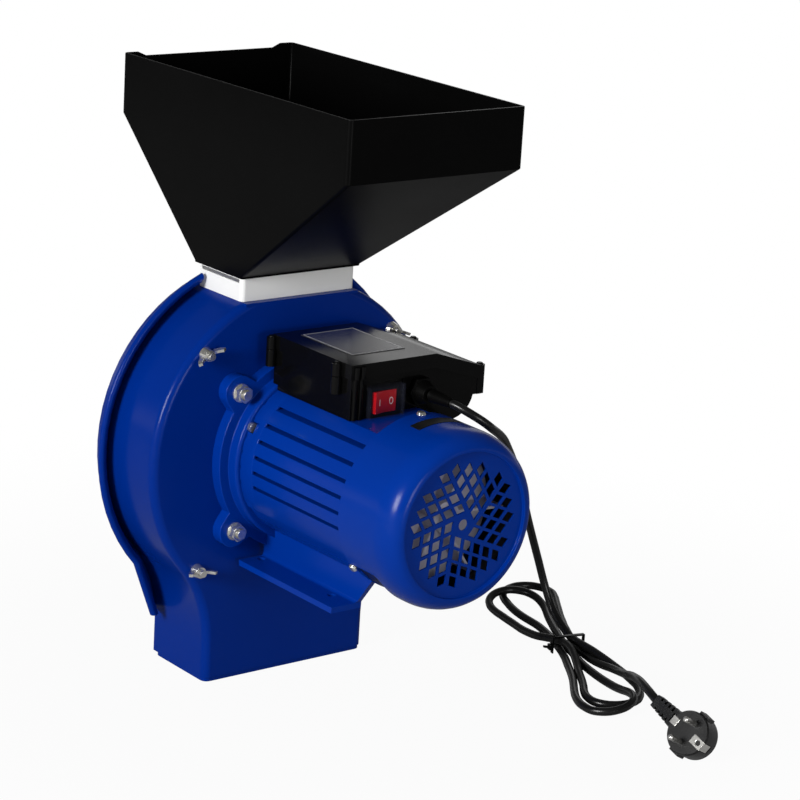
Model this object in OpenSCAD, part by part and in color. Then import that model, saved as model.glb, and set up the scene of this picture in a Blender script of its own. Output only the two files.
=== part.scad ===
// Electric grain mill: a sheet-steel beater drum with a hopper on top and an outlet below,
// driven by a foot-mounted motor with its switch box. Millimetres, +Z up.
// The origin is the centre of the four foot holes, on the underside of the motor's feet.
// Most pieces are drawn about the rotor axis, with y = 0 at the drum's rear face and the
// motor towards -Y, and mill() carries them to their place.

/* [Drum] */
// Outer radius of the drum
drum_r = 144; // [130:1:170]
// Depth of the drum, from its rear face to its open front
drum_depth = 78.5; // [70:0.5:100]
// Thickness of the sheet steel
sheet = 2.5; // [1.5:0.5:4]
// Radius of the bend around the drum's rear face
drum_bend = 7; // [5:0.5:12]
// Height of the flat on top of the drum below the drum's full radius
flat_cut = 12; // [6:1:20]
// Depth of the outlet's mouth below the rotor axis
outlet_drop = 197.5; // [180:0.5:230]
// Half the width of the outlet
outlet_half = 84; // [65:1:95]
// Height of the outlet's upright part
outlet_upright = 34; // [10:1:45]

/* [Cover] */
// Gap between the drum and the cover's skirt, at the front
cover_gap = 2; // [1.5:0.5:6]
// Depth of the cover's skirt, with its bead
skirt_depth = 25; // [18:1:40]
// Flare of the skirt, from its front to the bead
skirt_flare = 4.5; // [0:0.5:6]
// Radius of the rolled bead on the skirt
bead_r = 3; // [2.5:0.5:6]
// Angle below the horizontal where the skirt turns down beside the outlet
kink_angle = 41.6; // [36:0.2:50]
// Slope of the straight skirt, from the vertical
leg_slope = 20.8; // [15:0.1:30]
// Depth below the rotor axis at which the cover ends
cover_drop = 153; // [140:1:170]

/* [Hopper] */
// Half the width of the hopper's rim
hopper_half = 87.3; // [70:0.1:110]
// Reach of the rim over the motor, from the drum's rear face
hopper_rear = 166.5; // [120:0.5:200]
// Reach of the rim beyond the drum's rear face, to the front
hopper_front = 152.3; // [110:0.5:190]
// Height of the hopper above the neck
hopper_h = 165.2; // [120:1:220]
// Height of the upright band under the rim
hopper_band = 50.6; // [20:1:80]
// Wall thickness of the hopper
hopper_wall = 2.5; // [2:0.5:4]

/* [Neck] */
// Half the width of the neck
neck_half = 58; // [48:0.5:70]
// Height of the neck
neck_h = 20.3; // [16:0.5:40]
// Distance of the neck from the drum's rear face
neck_rear = 6.3; // [4:0.1:12]
// Length of the neck along the rotor axis
neck_len = 64.4; // [50:0.1:68]
// Wall thickness of the neck
neck_wall = 7; // [5:0.5:9]

/* [Motor] */
// Height of the rotor axis above the underside of the feet
shaft_h = 93.5; // [88:0.5:110]
// Outer radius of the finned motor frame
frame_r = 72; // [68:0.5:80]
// Length from the drum's rear face to the rear end of the motor frame
frame_end = 162; // [150:1:200]
// Outer radius of the drive-end flange
flange_r = 85; // [80:1:95]
// Half the spacing of the flange bolts, across and up
flange_bolt_x = 67; // [60:0.5:75]
flange_bolt_z = 60.3; // [54:0.1:68]
// Foot hole spacing across the motor and along it
foot_pitch_x = 80; // [70:1:100]
foot_pitch_y = 100; // [80:1:120]
// Pitch of the grooves in the motor frame's sides
groove_pitch = 13; // [9:0.5:16]

/* [Fan cover] */
// Reach of the fan cover beyond the motor frame's radius
cowl_over = 2.5; // [2.5:0.5:10]
// Length of the fan cover
cowl_len = 68.5; // [55:0.5:90]
// Rounding of its end, measured inwards and along
cowl_round = 12.5; // [6:0.5:20]
cowl_taper = 24; // [8:1:35]
// Thickness of its sheet
cowl_sheet = 1.6; // [1:0.1:2.5]
// Spacing of the grille's diamond holes
grille_pitch = 10.8; // [8:0.1:14]
// Side of each diamond hole
grille_hole = 8.2; // [5:0.1:10]
// Number of sectors in the grille
grille_sectors = 5; // [5:1:5]

/* [Switch box] */
// Width of the switch box from its left side to the ridge, and from the ridge to the right side
box_left = 38; // [34:0.5:50]
box_ridge = 47; // [30:0.5:60]
box_right = 96; // [85:0.5:110]
// Height of the lid's flat top above the rotor axis
box_top = 108.5; // [100:0.5:120]
// Fall of the lid from the ridge to the right side
box_fall = 16; // [8:0.5:24]
// Depth of the lid's rim
lid_rim = 12; // [8:0.5:16]
// Wall thickness of the box and its lid
box_wall = 2.5; // [2:0.1:4]

/* [Power cord] */
// Diameter of the cord
cord_d = 7.2; // [6:0.1:9]

/* [Hidden] */
$fn = 64;

// Running gap between a turning piece and what it turns in
run_fit = 0.05;
// Room between a bolt and its hole
bolt_room = 0.2;
// Extra length on a cutting tool
cut = 1;

// Colours
blue = [0.03, 0.16, 0.55];
black = [0.06, 0.06, 0.07];
zinc = [0.75, 0.76, 0.78];
steel = [0.55, 0.56, 0.58];
cast = [0.45, 0.46, 0.48];
copper = [0.72, 0.4, 0.2];
white = [0.9, 0.9, 0.9];

// Place of the drum's rear face in the part's frame
foot_front = 7;
foot_hole_inset = 7;
drum_face_y = foot_front + foot_hole_inset + foot_pitch_y / 2;

// Height of the drum's flat top above the rotor axis
flat_h = drum_r - flat_cut;

// The arc that blends the drum into the outlet's upright mouth
frame_ring_h = 3.5;
mouth_z = frame_ring_h - outlet_drop;
blend_z = outlet_upright - outlet_drop;
blend_r = (outlet_half ^ 2 + blend_z ^ 2 - drum_r ^ 2) / (2 * (drum_r - outlet_half));
blend_x = outlet_half + blend_r;
blend_a = atan2(blend_z, blend_x);

// Cover
cover_r = drum_r + cover_gap + sheet;
cover_front = drum_depth + sheet + 1;
cover_bend = 6;
neck_notch = 3.5;

// Studs, at two thirds of the drum's radius
stud_x = drum_r * 2 / 3;
stud_z = stud_x - 2;
stud_r = 3;

// Neck and hopper
neck_top = flat_h + neck_h;
neck_front = neck_rear + neck_len;
throat_half = neck_half - neck_wall;
slide_t = 2.4;
slide_gap = 0.3;
slide_top = neck_top - 2.3;
slide_groove = 2.5;
hopper_lip = 3.25;
rim_dip = 3.5;

// Motor
flange_t = 11;
boss_r = 76;
boss_end = 22;
spigot_r = 45;
bore_r = 56;
shaft_r = 12;
drive_r = 10;
rear_r = 8.5;
arbor_r = 9;
foot_t = 5;
web_x = 28;
foot_x = 58;
foot_end = 138.5;
// Flat on top of the motor frame, where the switch box stands
flat_z = 61.5;
groove_w = 3;
groove_depth = 8;
tie_r = 71;
tie_a = 152;
box_seat_r = frame_r + 0.3;
seat_gap = 0.3;

// Fan cover
cowl_r = frame_r + cowl_over;
cowl_front = -(frame_end + cowl_len);
cowl_flat_r = cowl_r - cowl_round;
// Radius of the end shield's rim inside the cover
cowl_seat_r = cowl_r - cowl_sheet - 0.9;
screw_y = -frame_end - 4;
screw_angles = [90, 217, 323];
recess = 3.1;
notch_z = -41.5;
notch_len = 38;

// Switch box
box_rear = -16;
box_face = -122;
gland_x = 37;
gland_z = 76.5;
switch_x = -5;
switch_z = 74.7;
switch_w = 31;
switch_h = 25;
rocker_half = 11.2;
rocker_tilt = 7;
pivot_y = 2;
pivot_r = 1.2;
side_round = 24;
box_floor = 46.5;
face_step = 7;
step_x = 16;

// Cord, in the part's frame
floor_z = shaft_h - outlet_drop;
cord_r = cord_d / 2;
cord_route = [[37, -62, 170], [37, -74, 170], [38.5, -86, 169.5], [42, -97, 167.5], [48, -106.5, 163],
    [56.5, -112, 157], [66, -113, 150], [85, -104.5, 137.5], [100.5, -95.5, 122], [115.5, -85, 107],
    [131, -71.5, 94], [146, -56.5, 83], [161, -41.5, 72], [176, -27, 60], [190.5, -14.5, 46],
    [204.5, -3.5, 29], [217, 4.5, 10.5], [228.5, 9.5, -10], [237.5, 10, -32], [244, 6.5, -55],
    [246.5, -4.5, -76], [246, -24, -89], [245, -36, -92]];
tail_route = [[234, -99.5, -95.5], [226, -121.5, -90.5], [213, -140, -83], [199.5, -158, -74.5],
    [187, -177.5, -67], [175.5, -197.5, -62], [166, -219.5, -62], [163, -231, -64.5]];
hank_h = 2 * cord_d;
// Plug: centre of its face, the way the pins point and the way the cord leaves
plug_at = [158.5, -273.2, -75.9];
plug_turn = [36, -53, -27];
plug_r = 18.8;
clip_y = 17.2;
relief_len = 43.2;

// ---------------------------------------------------------------- helpers

// Moves a piece drawn about the rotor axis to its place in the part's frame
module mill() {
    translate([0, drum_face_y, shaft_h]) children();
}

// Extrudes an outline drawn in x and z along the rotor axis
module prism_y(from, to) {
    translate([0, to, 0]) rotate([90, 0, 0]) linear_extrude(to - from) children();
}

// A round bar along the rotor axis
module rod_y(r, from, to) {
    translate([0, from, 0]) rotate([-90, 0, 0]) cylinder(r = r, h = to - from);
}

// A hexagonal bar along the rotor axis, across its flats
module hex_y(flats, from, to) {
    translate([0, from, 0]) rotate([-90, 0, 0]) cylinder(r = flats / sqrt(3), h = to - from, $fn = 6);
}

// Turns a section, drawn as radius and depth, about the rotor axis
module turn_y() {
    rotate([-90, 0, 0]) rotate_extrude() children();
}

// The same between two angles from +X towards +Z
module turn_part(from, to) {
    rotate([-90, 0, 0]) rotate([0, 0, -to]) rotate_extrude(angle = to - from) children();
}

// Repeats a piece in the four corners of a rectangle, mirrored
module four_corners(x, z) {
    for (sx = [-1, 1], sz = [-1, 1]) translate([sx * x, 0, sz * z]) children();
}

// Points along an arc
function arc(cx, cy, r, from, to, steps = 6) =
    [for (i = [0:steps]) let (a = from + (to - from) * i / steps) [cx + r * cos(a), cy + r * sin(a)]];

// Corners of a rectangle with rounded corners
function round_rect(x0, x1, y0, y1, r, steps = 4) = concat(
    arc(x1 - r, y1 - r, r, 0, 90, steps), arc(x0 + r, y1 - r, r, 90, 180, steps),
    arc(x0 + r, y0 + r, r, 180, 270, steps), arc(x1 - r, y0 + r, r, 270, 360, steps));

function lift(points, z) = [for (p = points) [p[0], p[1], z]];

// A closed skin over a stack of rings that have the same number of points. Where the rings are
// convex apart from two legs, their ends are laid as the round part and the steps between the legs
module skin(rings, legs = 0) {
    n = len(rings[0]);
    last = len(rings) - 1;
    sides = [for (k = [0:last - 1], i = [0:n - 1]) let (j = (i + 1) % n)
        [k * n + i, (k + 1) * n + i, (k + 1) * n + j, k * n + j]];
    cap = concat([[for (i = [legs:n - 1 - legs]) i]], legs == 0 ? [] : [for (j = [0:legs - 1])
        [n - 1 - legs + j, n - legs + j, legs - j - 1, legs - j]]);
    polyhedron(points = [for (ring = rings, p = ring) p], convexity = 4, faces = concat(cap, sides,
        [for (face = cap) [for (i = [len(face) - 1:-1:0]) last * n + face[i]]]));
}

// ---------------------------------------------------------------- drum

// Outline of the drum at a distance in from its outer wall: from below the mouth up the right
// blend, round the drum and down the left blend
blend_steps = 8;
function drum_line(in, down) = let (r = blend_r + in) concat(
    [[blend_x - r, mouth_z - down]],
    [for (i = [0:blend_steps - 1]) let (a = -blend_a * i / blend_steps)
        [blend_x - r * cos(a), blend_z + r * sin(a)]],
    arc(0, 0, drum_r - in, blend_a, 180 - blend_a, 48),
    [for (i = [1:blend_steps]) let (a = -blend_a * (1 - i / blend_steps))
        [r * cos(a) - blend_x, blend_z + r * sin(a)]],
    [[r - blend_x, mouth_z - down]]);

function stand(points, y) = [for (p = points) [p[0], y, p[1]]];

// A pressed dish: from its open front back round the bend to its flat rear
module drum_dish(in, front, down) {
    bend = drum_bend - in;
    skin(concat([stand(drum_line(in, down), front)],
        [for (a = [0:18:90]) stand(drum_line(drum_bend - bend * cos(a), down), drum_bend - bend * sin(a))]),
        blend_steps + 1);
}

module drum_shell() {
    difference() {
        drum_dish(0, drum_depth, cut);
        drum_dish(sheet, drum_depth + cut, 2 * cut);
        translate([-drum_r, -cut, mouth_z - 3 * cut]) cube([2 * drum_r, drum_depth + 2 * cut, 3 * cut]);
    }
}

module drum_housing() {
    cover_lap = 8;
    color(blue) mill() difference() {
        union() {
            difference() {
                drum_shell();
                translate([-drum_r, -cut, flat_h]) cube([2 * drum_r, drum_depth + 2 * cut, drum_r]);
            }
            // flat top that carries the neck
            translate([-sqrt(drum_r ^ 2 - flat_h ^ 2), 0, flat_h - sheet])
                cube([2 * sqrt(drum_r ^ 2 - flat_h ^ 2), drum_depth, sheet]);
            // front wall of the outlet, up to the cover
            prism_y(drum_depth - sheet, drum_depth) intersection() {
                polygon(drum_line(sheet / 2, 0));
                translate([-drum_r, -outlet_drop]) square([2 * drum_r, outlet_drop - cover_drop + cover_lap]);
            }
        }
        // inlet under the neck
        translate([-throat_half, neck_rear + neck_wall, flat_h - sheet - cut])
            cube([2 * throat_half, neck_len - 2 * neck_wall, sheet + 2 * cut]);
        rod_y(spigot_r, -cut, sheet + cut);
        four_corners(flange_bolt_x, flange_bolt_z) rod_y(4 + bolt_room, -cut, sheet + cut);
        four_corners(stud_x, stud_z) rod_y(stud_r + bolt_room, -cut, sheet + cut);
    }
}

module outlet_frame() {
    set_in = 1;
    width = 12;
    color(blue) mill() translate([0, 0, -outlet_drop]) linear_extrude(frame_ring_h) difference() {
        polygon(round_rect(set_in - outlet_half, outlet_half - set_in, set_in, drum_depth - set_in,
            drum_bend - set_in));
        polygon(round_rect(width - outlet_half, outlet_half - width, width, drum_depth - width, 4));
    }
}

// ---------------------------------------------------------------- cover

// Stations round the cover's skirt: a place and the way it faces. Each leg runs on past the cover's end
leg = 70;
kink_out = cos((kink_angle - leg_slope) / 2);
kink_way = (kink_angle + leg_slope) / 2;
right_leg = [[cover_r * cos(kink_angle) - leg * sin(leg_slope),
    -cover_r * sin(kink_angle) - leg * cos(leg_slope)],
    [cos(leg_slope), -sin(leg_slope)]];
right_kink = [cover_r * [cos(kink_angle), -sin(kink_angle)], [cos(kink_way), -sin(kink_way)] / kink_out];
function mirrored(s) = [[-s[0][0], s[0][1]], [-s[1][0], s[1][1]]];
round_steps = 48;
cover_stations = concat([right_leg, right_kink],
    [for (i = [1:round_steps - 1]) let (a = -kink_angle + (180 + 2 * kink_angle) * i / round_steps)
        [cover_r * [cos(a), sin(a)], [cos(a), sin(a)]]],
    [mirrored(right_kink), mirrored(right_leg)]);

function cover_line(inset) = [for (s = cover_stations) s[0] - inset * s[1]];

// The rim's section, as distance in from the skirt and depth: from the inside of the flat front
// down the skirt, round the bead and back up the outside
rim_back = cover_front - skirt_depth;
rim_section = concat(
    arc(cover_bend, cover_front - cover_bend, cover_bend - sheet, 90, 180, 4),
    [[sheet - skirt_flare, rim_back + bead_r]],
    arc(1 - skirt_flare - bead_r, rim_back + bead_r, bead_r, -20, -330, 10),
    arc(cover_bend, cover_front - cover_bend, cover_bend, 180, 90, 5));

module front_cover() {
    color(blue) mill() difference() {
        skin([for (p = rim_section) stand(cover_line(p[0]), p[1])], 1);
        translate([-drum_r, 0, -cover_drop - drum_r]) cube([2 * drum_r, 2 * drum_depth, drum_r]);
        // notch around the neck
        translate([-neck_half - neck_notch, 0, flat_h - sheet - 20])
            cube([2 * (neck_half + neck_notch), drum_depth + sheet / 5, drum_r]);
        four_corners(stud_x, stud_z) rod_y(stud_r + bolt_room, drum_depth, cover_front + cut);
    }
}

module cover_studs() {
    head_r = 7;
    head_h = 3.2;
    reach = 11;
    color(zinc) mill() four_corners(stud_x, stud_z) {
        rod_y(stud_r, -reach, cover_front + cut);
        intersection() {
            translate([0, cover_front - 7, 0]) sphere(10.2);
            rod_y(head_r, cover_front, cover_front + head_h);
        }
    }
}

// One wing nut, at its own stud
module wing_nut(x, z, turn) {
    hub = 7;
    ear = [[3.5, 2], [8, 2.6], [12, 6.4], [14.2, 10], [11.2, 11.6], [7, 7.2], [3.5, 6.4]];
    color(zinc) mill() translate([x, 0, z]) rotate([0, turn, 0]) difference() {
        union() {
            translate([0, -hub, 0]) rotate([-90, 0, 0]) cylinder(r1 = 4.8, r2 = 6.2, h = hub);
            for (side = [0, 1]) mirror([side, 0, 0])
                translate([0, 0, -1.2]) mirror([0, 1, 0]) linear_extrude(2.4) polygon(ear);
        }
        rod_y(stud_r + run_fit, -20, cut);
    }
}

module wing_nut_upper_left() {
    wing_nut(-stud_x, stud_z, -24);
}

module wing_nut_upper_right() {
    wing_nut(stud_x, stud_z, 18);
}

module wing_nut_lower_left() {
    wing_nut(-stud_x, -stud_z, 4);
}

module wing_nut_lower_right() {
    wing_nut(stud_x, -stud_z, 52);
}

// ---------------------------------------------------------------- grinding chamber

sieve_r = drum_r - 25;
sieve_t = 1.5;
sieve_from = 12;
sieve_to = drum_depth - 8.5;

module sieve() {
    rows = 5;
    slots = 14;
    slot_w = 5;
    row_pitch = (sieve_to - sieve_from) / rows;
    color(steel) mill() difference() {
        union() {
            turn_part(180, 360) translate([sieve_r, sieve_from]) square([sieve_t, sieve_to - sieve_from]);
            for (side = [0, 1]) mirror([side, 0, 0])
                translate([sieve_r, sieve_from, -sieve_t]) cube([12, sieve_to - sieve_from, sieve_t]);
        }
        for (i = [0:rows - 1], k = [0:slots - 1])
            turn_part(186.5 + k * 12, 194.5 + k * 12)
                translate([sieve_r - cut, sieve_from + (i + 0.5) * row_pitch - slot_w / 2])
                    square([sieve_t + 2 * cut, slot_w]);
    }
}

module sieve_rails() {
    rail_h = 10;
    color(steel) mill() for (side = [0, 1]) mirror([side, 0, 0])
        translate([sieve_r + sieve_t + 1, sheet, -sieve_t - rail_h]) cube([10, sieve_to - sheet, rail_h]);
}

hub_from = 20;
blade_from = 36;
blade_t = 5;
blade_turn = 35;

module beater_hub() {
    color(steel) mill() difference() {
        union() {
            rod_y(17, hub_from, blade_from - 6);
            rod_y(26, blade_from - 6, blade_from);
        }
        rod_y(arbor_r, hub_from - cut, blade_from + cut);
    }
}

module beater_blade() {
    tip_gap = 6;
    reach = sieve_r - tip_gap;
    half = 20;
    tip = 8;
    bevel = 12;
    bevel_from = 35;
    color(steel) mill() rotate([0, blade_turn, 0]) difference() {
        prism_y(blade_from, blade_from + blade_t) polygon([[-half, -reach + tip], [-half + tip, -reach],
            [half, -reach], [half, reach - tip], [half - tip, reach], [-half, reach]]);
        rod_y(arbor_r, blade_from - cut, blade_from + blade_t + cut);
        // bevels on the leading edges
        for (turn = [0, 180]) rotate([0, turn, 0])
            translate([half, blade_from + blade_t, bevel_from]) rotate([0, 0, 30])
                translate([-bevel / 2, 0, 0]) cube([bevel, bevel, reach]);
    }
}

module blade_nut() {
    color(zinc) mill() difference() {
        union() {
            rod_y(15, blade_from + blade_t, blade_from + blade_t + 2.5);
            hex_y(19, blade_from + blade_t + 2.5, blade_from + blade_t + 12.5);
        }
        rod_y(6, blade_from, blade_from + 20);
    }
}

// ---------------------------------------------------------------- rotor

rotor_from = 32 - frame_end;
rotor_to = -45;
rotor_r = 36.5;
// Bearings, as where they start and end
front_seat = [-18, -4];
front_seat_r = 23.5;
rear_seat = [-frame_end - 8, -frame_end + 4];
rear_seat_r = 20;
// Fan, in the middle of its cover
fan_from = rear_seat[0] - 36;
fan_to = rear_seat[0] - 8;
fan_shaft_r = 7;
// Threaded end of the shaft, for the blade's nut
thread_r = 6;
thread_end = blade_from + blade_t + 20;
shoulder = 1;

module motor_shaft() {
    arbor_from = 6;
    color(steel) mill() turn_y() polygon([
        [0, fan_from - shoulder], [fan_shaft_r - shoulder, fan_from - shoulder],
        [fan_shaft_r, fan_from], [fan_shaft_r, rear_seat[0] - 2 * shoulder],
        [rear_r - run_fit, rear_seat[0] - 2 * shoulder], [rear_r - run_fit, rear_seat[1] + shoulder],
        [shaft_r, rear_seat[1] + shoulder], [shaft_r, front_seat[0] - shoulder],
        [drive_r - run_fit, front_seat[0] - shoulder], [drive_r - run_fit, arbor_from],
        [arbor_r, arbor_from], [arbor_r, blade_from + blade_t], [thread_r, blade_from + blade_t],
        [thread_r, thread_end - shoulder], [thread_r - shoulder, thread_end], [0, thread_end]]);
}

module rotor_core() {
    ring = 8;
    color(cast) mill() difference() {
        union() {
            rod_y(rotor_r, rotor_from, rotor_to);
            rod_y(rotor_r - 4, rotor_from - ring, rotor_to + ring);
            for (a = [0:45:315]) rotate([0, a, 0]) translate([24, rotor_to + ring, -1.5]) cube([7, 7, 3]);
        }
        rod_y(22, rotor_from - ring - cut, rotor_from);
        rod_y(22, rotor_to, rotor_to + ring + cut);
        rod_y(shaft_r, rotor_from - ring - cut, rotor_to + ring + cut);
    }
}

module cooling_fan() {
    hub_r = 13;
    tip_r = cowl_flat_r - 2;
    disc_r = tip_r - 14;
    disc_t = 3;
    vane_t = 2.4;
    vane_from = fan_from + 2;
    color(black) mill() difference() {
        union() {
            rod_y(hub_r, fan_from, fan_to);
            rod_y(disc_r, fan_to - disc_t, fan_to);
            for (a = [0:60:300]) rotate([0, a, 0]) translate([hub_r - 2, vane_from, -vane_t / 2])
                cube([tip_r - hub_r + 2, fan_to - vane_from, vane_t]);
        }
        rod_y(fan_shaft_r, fan_from - cut, fan_to + cut);
    }
}

// A ball bearing with grooved faces
module bearing(in_r, out_r, from, to) {
    mid = (in_r + out_r) / 2;
    color(zinc) mill() difference() {
        rod_y(out_r, from, to);
        rod_y(in_r, from - cut, to + cut);
        for (face = [from - 1, to - 1]) difference() {
            rod_y(mid + 3.5, face, face + 2);
            rod_y(mid - 3.5, face - cut, face + 2 + cut);
        }
    }
}

module front_bearing() {
    bearing(drive_r, front_seat_r, front_seat[0], front_seat[1]);
}

module rear_bearing() {
    bearing(rear_r, rear_seat_r, rear_seat[0], rear_seat[1]);
}

// ---------------------------------------------------------------- stator and frame

module stator_core() {
    teeth = 24;
    color(cast) mill() prism_y(rotor_from, rotor_to) difference() {
        circle(bore_r);
        circle(rotor_r + 0.5);
        for (k = [0:teeth - 1]) rotate(k * 360 / teeth) {
            translate([rotor_r, -1]) square([5, 2]);
            translate([rotor_r + 3.5, -2.2]) square([11, 4.4]);
        }
    }
}

module stator_windings() {
    coil_in = 40;
    coil_t = bore_r - 1 - coil_in;
    coil_len = 16;
    color(copper) mill() for (from = [rotor_to, rotor_from - coil_len]) translate([0, from, 0])
        turn_y() translate([coil_in, 0]) polygon(round_rect(0, coil_t, 0, coil_len, 5));
}

// Finned outline of the motor frame; its lower part is smooth
module frame_outline() {
    fins_end = -36;
    difference() {
        union() {
            intersection() {
                circle(frame_r);
                translate([-frame_r, fins_end]) square([2 * frame_r, flat_z - fins_end]);
            }
            intersection() {
                circle(frame_r - 2);
                translate([-frame_r, -frame_r]) square([2 * frame_r, frame_r + flat_z]);
            }
        }
        for (side = [0, 1], k = [-1:4]) mirror([side, 0]) let (z = k * groove_pitch)
            translate([sqrt(frame_r ^ 2 - z ^ 2) - groove_depth, z - groove_w / 2])
                square([2 * frame_r, groove_w]);
        circle(bore_r);
    }
}

// The three screws that tie the frame to the flange
module tie_places() {
    for (turn = [0:120:240]) rotate([0, -tie_a - turn, 0]) translate([tie_r, 0, 0]) children();
}

module motor_frame() {
    pocket_w = 9;
    pocket_y = 7;
    color(blue) mill() difference() {
        prism_y(-frame_end, -boss_end) frame_outline();
        tie_places() translate([-8, -boss_end - pocket_y, -pocket_w / 2]) cube([20, pocket_y + cut, pocket_w]);
    }
}

module tie_screws() {
    color(zinc) mill() tie_places() {
        rod_y(2.5, -boss_end - 1, -boss_end + 9);
        rod_y(4, -boss_end - 4.4, -boss_end);
    }
}

module motor_foot() {
    half_pitch = foot_pitch_x / 2;
    web_top = -50;
    color(blue) mill() difference() {
        intersection() {
            for (side = [0, 1]) mirror([side, 0, 0])
                prism_y(-frame_end, -foot_front) polygon(concat([[web_x, -shaft_h]],
                    [[foot_x, -shaft_h], [foot_x, foot_t - shaft_h]],
                    arc(web_x + foot_t + 3, foot_t - shaft_h + 3, 3, 270, 180, 4),
                    [[web_x + foot_t, web_top], [web_x, web_top]]));
            // the webs lean back under the frame's rear end
            translate([-foot_x, 0, 0]) rotate([90, 0, 90]) linear_extrude(2 * foot_x)
                polygon([[-foot_front, -shaft_h], [-foot_end, -shaft_h], [-foot_end, foot_t - shaft_h],
                    [-frame_end, -58], [-frame_end, web_top], [-foot_front, web_top]]);
        }
        translate([0, -boss_end, 0]) rod_y(frame_r - 2, -frame_end, 0);
        translate([0, -boss_end, 0]) rod_y(boss_r, 0, boss_end);
        for (sx = [-1, 1], y = [0, foot_pitch_y])
            translate([sx * half_pitch, -foot_front - foot_hole_inset - y, -shaft_h - cut])
                cylinder(r = 3.5, h = foot_t + 2 * cut);
    }
}

module flange_outline() {
    circle(flange_r);
    for (sx = [-1, 1], sz = [-1, 1]) hull() {
        translate([sx * flange_bolt_x, sz * flange_bolt_z]) circle(14.5, $fn = 32);
        translate([sx * flange_bolt_x, sz * flange_bolt_z] * 0.62) circle(22, $fn = 32);
    }
}

module drive_end_flange() {
    edge = 3;
    rim = 5;
    color(blue) mill() difference() {
        union() {
            prism_y(-flange_t, 0) flange_outline();
            turn_y() polygon(concat([[0, -flange_t], [0, -boss_end], [boss_r - edge, -boss_end]],
                arc(boss_r - edge, edge - boss_end, edge, 270, 360, 5), [[boss_r, -flange_t]]));
            rod_y(bore_r, -boss_end - rim, -boss_end);
            rod_y(spigot_r - 0.5, 0, sheet);
        }
        turn_y() polygon([[0, -2 * boss_end], [bore_r - rim, -2 * boss_end], [bore_r - rim, -boss_end],
            [front_seat_r + 4.5, front_seat[0]], [front_seat_r, front_seat[0]], [front_seat_r, front_seat[1]],
            [17, front_seat[1]], [17, 2], [13, 2], [13, 10], [0, 10]]);
        four_corners(flange_bolt_x, flange_bolt_z) rod_y(4 + bolt_room, -flange_t - cut, cut);
        tie_places() rod_y(2.5, -boss_end - cut, -boss_end + 10);
    }
}

module rear_end_shield() {
    rim = 5;
    seat_wall = 8;
    inner = rear_seat[1] + 4;
    color(blue) mill() difference() {
        union() {
            rod_y(cowl_seat_r, -frame_end - 7, -frame_end);
            rod_y(bore_r, -frame_end, -frame_end + rim);
            rod_y(rear_seat_r + seat_wall, rear_seat[0] - 1, inner);
        }
        difference() {
            rod_y(bore_r - rim, -frame_end + 1, inner + cut);
            rod_y(rear_seat_r + seat_wall, -frame_end, inner + cut);
        }
        rod_y(rear_seat_r, rear_seat[0], inner + cut);
        rod_y(rear_seat_r - 5, rear_seat[0] - 2, -frame_end);
    }
}

module flange_bolts() {
    color(zinc) mill() four_corners(flange_bolt_x, flange_bolt_z) {
        rod_y(4, -2 * flange_t, sheet);
        hex_y(13, sheet, sheet + 5.3);
    }
}

module flange_washers() {
    color(zinc) mill() four_corners(flange_bolt_x, flange_bolt_z) difference() {
        rod_y(8, -flange_t - 1.6, -flange_t);
        rod_y(4 + bolt_room, -flange_t - 2, cut);
    }
}

module flange_nuts() {
    face = -flange_t - 1.6;
    color(zinc) mill() four_corners(flange_bolt_x, flange_bolt_z) difference() {
        rotate([0, 15, 0]) intersection() {
            hex_y(13, face - 6.5, face);
            translate([0, face - 6.5, 0]) rotate([-90, 0, 0]) cylinder(r1 = 6.4, r2 = 8.2, h = 3);
        }
        rod_y(4, face - 8, face + cut);
    }
}

// ---------------------------------------------------------------- fan cover

// One sector's holes: a skewed lattice between two neighbouring sector directions
module grille_sector() {
    turn = 360 / grille_sectors;
    near = [1, 0];
    next = [cos(turn), sin(turn)];
    limit = 4.5;
    for (i = [0:4], j = [0:4]) let (p = near * (1.41 + i) + next * (j - 0.27)) if (norm(p) < limit)
        translate(p * grille_pitch) polygon([(near + next) * grille_hole / 2, (next - near) * grille_hole / 2,
            -(near + next) * grille_hole / 2, (near - next) * grille_hole / 2]);
}

module grille() {
    first = -23.4;
    difference() {
        circle(cowl_flat_r + cut);
        circle(4.6);
        for (k = [0:grille_sectors - 1]) rotate(first + k * 360 / grille_sectors) grille_sector();
    }
}

// The fan cover's rounded end, from the rim of the grille to the straight wall
function cowl_curve(inset, steps = 8) = [for (i = [0:steps]) let (a = 90 * i / steps)
    [cowl_flat_r + (cowl_round - inset) * sin(a), cowl_front + cowl_taper - (cowl_taper - inset) * cos(a)]];

module cowl_section() {
    inside = cowl_curve(cowl_sheet);
    polygon(concat(cowl_curve(0), [[cowl_r, -frame_end], [cowl_r - cowl_sheet, -frame_end]],
        [for (i = [len(inside) - 1:-1:0]) inside[i]], [[cowl_flat_r, cowl_front + recess + cowl_sheet],
        [cowl_flat_r - cowl_sheet, cowl_front + recess + cowl_sheet], [cowl_flat_r - cowl_sheet, cowl_front]]));
}

module fan_cover() {
    round_r = 6;
    color(blue) mill() difference() {
        union() {
            turn_y() cowl_section();
            prism_y(cowl_front + recess, cowl_front + recess + cowl_sheet) grille();
        }
        // notch over the motor's foot
        translate([-cowl_r - cut, 0, 0]) rotate([90, 0, 90]) linear_extrude(2 * cowl_r + 2 * cut)
            polygon(round_rect(-frame_end - notch_len, -frame_end + 30, -2 * cowl_r, notch_z, round_r));
        for (a = screw_angles) rotate([0, -a, 0])
            translate([cowl_seat_r - cut, screw_y, 0]) rotate([0, 90, 0]) cylinder(r = 2 + bolt_room, h = 8);
    }
}

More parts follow.
